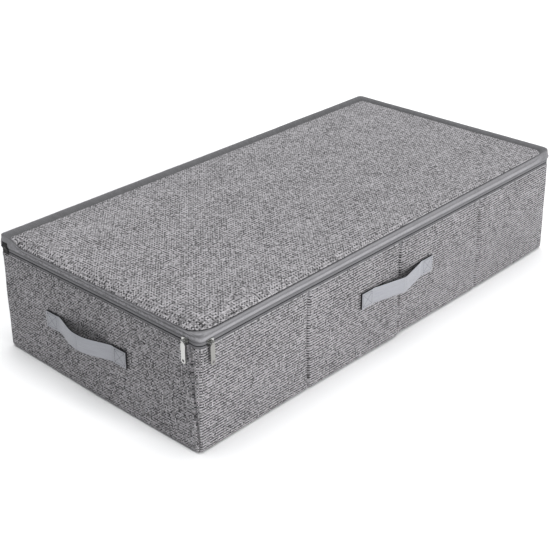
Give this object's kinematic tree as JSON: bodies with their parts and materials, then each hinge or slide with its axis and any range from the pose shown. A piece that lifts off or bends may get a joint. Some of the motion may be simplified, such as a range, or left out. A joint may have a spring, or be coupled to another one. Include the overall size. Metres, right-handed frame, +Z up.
{
  "type": "under bed storage box",
  "caption": "Long, low fabric storage box with stiff walls, a zip-round lid hinged at the back and strap handles on the front and ends.",
  "frame": {"origin": "middle of the underside of the box body, handles left out", "axes": "+X along the front to the right, -Y out of the front, +Z up"},
  "size_m": [0.8324, 0.418, 0.18],
  "materials": {
    "outer_fabric": "matt heathered linen-look weave",
    "border_tape": "smooth woven tape",
    "handle_strap": "smooth woven strap with a slight sheen",
    "lining": "matt non-woven",
    "board": "raw grey board",
    "zip_coil": "satin coil",
    "zip_metal": "bright plated"
  },
  "bodies": {
    "box": {"front_fabric": "outer_fabric", "back_fabric": "outer_fabric", "left_fabric": "outer_fabric", "right_fabric": "outer_fabric", "base_fabric": "lining", "front_board_1": "board", "back_board_1": "board", "base_board_1": "board", "front_board_2": "board", "back_board_2": "board", "base_board_2": "board", "front_board_3": "board", "back_board_3": "board", "base_board_3": "board", "front_board_4": "board", "back_board_4": "board", "base_board_4": "board", "left_board": "board", "right_board": "board", "wall_lining": "lining", "floor_lining": "lining", "lower_zip_tape": "border_tape", "lower_zip_coil": "zip_coil", "lower_zip_stops": "zip_metal", "zip_end_tabs": "border_tape", "hinge_tape": "border_tape", "front_handle_ends": "handle_strap", "left_handle_ends": "handle_strap", "right_handle_ends": "handle_strap"},
    "lid": {"lid_fabric": "outer_fabric", "lid_core": "board", "lid_lining": "lining", "lid_rim": "border_tape", "lid_front_skirt": "border_tape", "lid_back_skirt": "border_tape", "lid_left_skirt": "border_tape", "lid_right_skirt": "border_tape", "upper_zip_tape": "border_tape", "upper_zip_coil": "zip_coil", "upper_zip_stops": "zip_metal", "hinge_flap": "border_tape"},
    "front_slider": {"front_slider": "zip_metal", "front_slider_bridge": "zip_metal"},
    "front_pull": {"front_pull": "zip_metal"},
    "left_slider": {"left_slider": "zip_metal", "left_slider_bridge": "zip_metal"},
    "left_pull": {"left_pull": "zip_metal"},
    "front_handle": {"front_handle": "handle_strap"},
    "left_handle": {"left_handle": "handle_strap"},
    "right_handle": {"right_handle": "handle_strap"}
  },
  "joints": [
    {"name": "lid_hinge", "type": "hinge", "parent": "box", "child": "lid", "pos_m": [0, 0.2011, 0.157], "axis": [-1, 0, 0], "range_deg": [0, 180]},
    {"name": "front_slider_slide", "type": "slide", "parent": "box", "child": "front_slider", "axis": [1, 0, 0], "range_m": [0, 0.764]},
    {"name": "left_slider_slide", "type": "slide", "parent": "box", "child": "left_slider", "axis": [0, 1, 0], "range_m": [0, 0.35]},
    {"name": "front_pull_hinge", "type": "hinge", "parent": "front_slider", "child": "front_pull", "pos_m": [-0.382, -0.2043, 0.157], "axis": [-1, 0, 0], "range_deg": [-4, 180]},
    {"name": "left_pull_hinge", "type": "hinge", "parent": "left_slider", "child": "left_pull", "pos_m": [-0.4043, -0.176, 0.157], "axis": [0, 1, 0], "range_deg": [-4, 180]},
    {"name": "front_handle_hinge", "type": "hinge", "parent": "box", "child": "front_handle", "pos_m": [-0.008, -0.2012, 0.094], "axis": [-1, 0, 0], "range_deg": [-30, 30], "stiffness_Nm_per_rad": 0.03},
    {"name": "left_handle_hinge", "type": "hinge", "parent": "box", "child": "left_handle", "pos_m": [-0.4012, 0.017, 0.084], "axis": [0, 1, 0], "range_deg": [-30, 30], "stiffness_Nm_per_rad": 0.03},
    {"name": "right_handle_hinge", "type": "hinge", "parent": "box", "child": "right_handle", "pos_m": [0.4012, 0.017, 0.084], "axis": [0, -1, 0], "range_deg": [-30, 30], "stiffness_Nm_per_rad": 0.03}
  ]
}
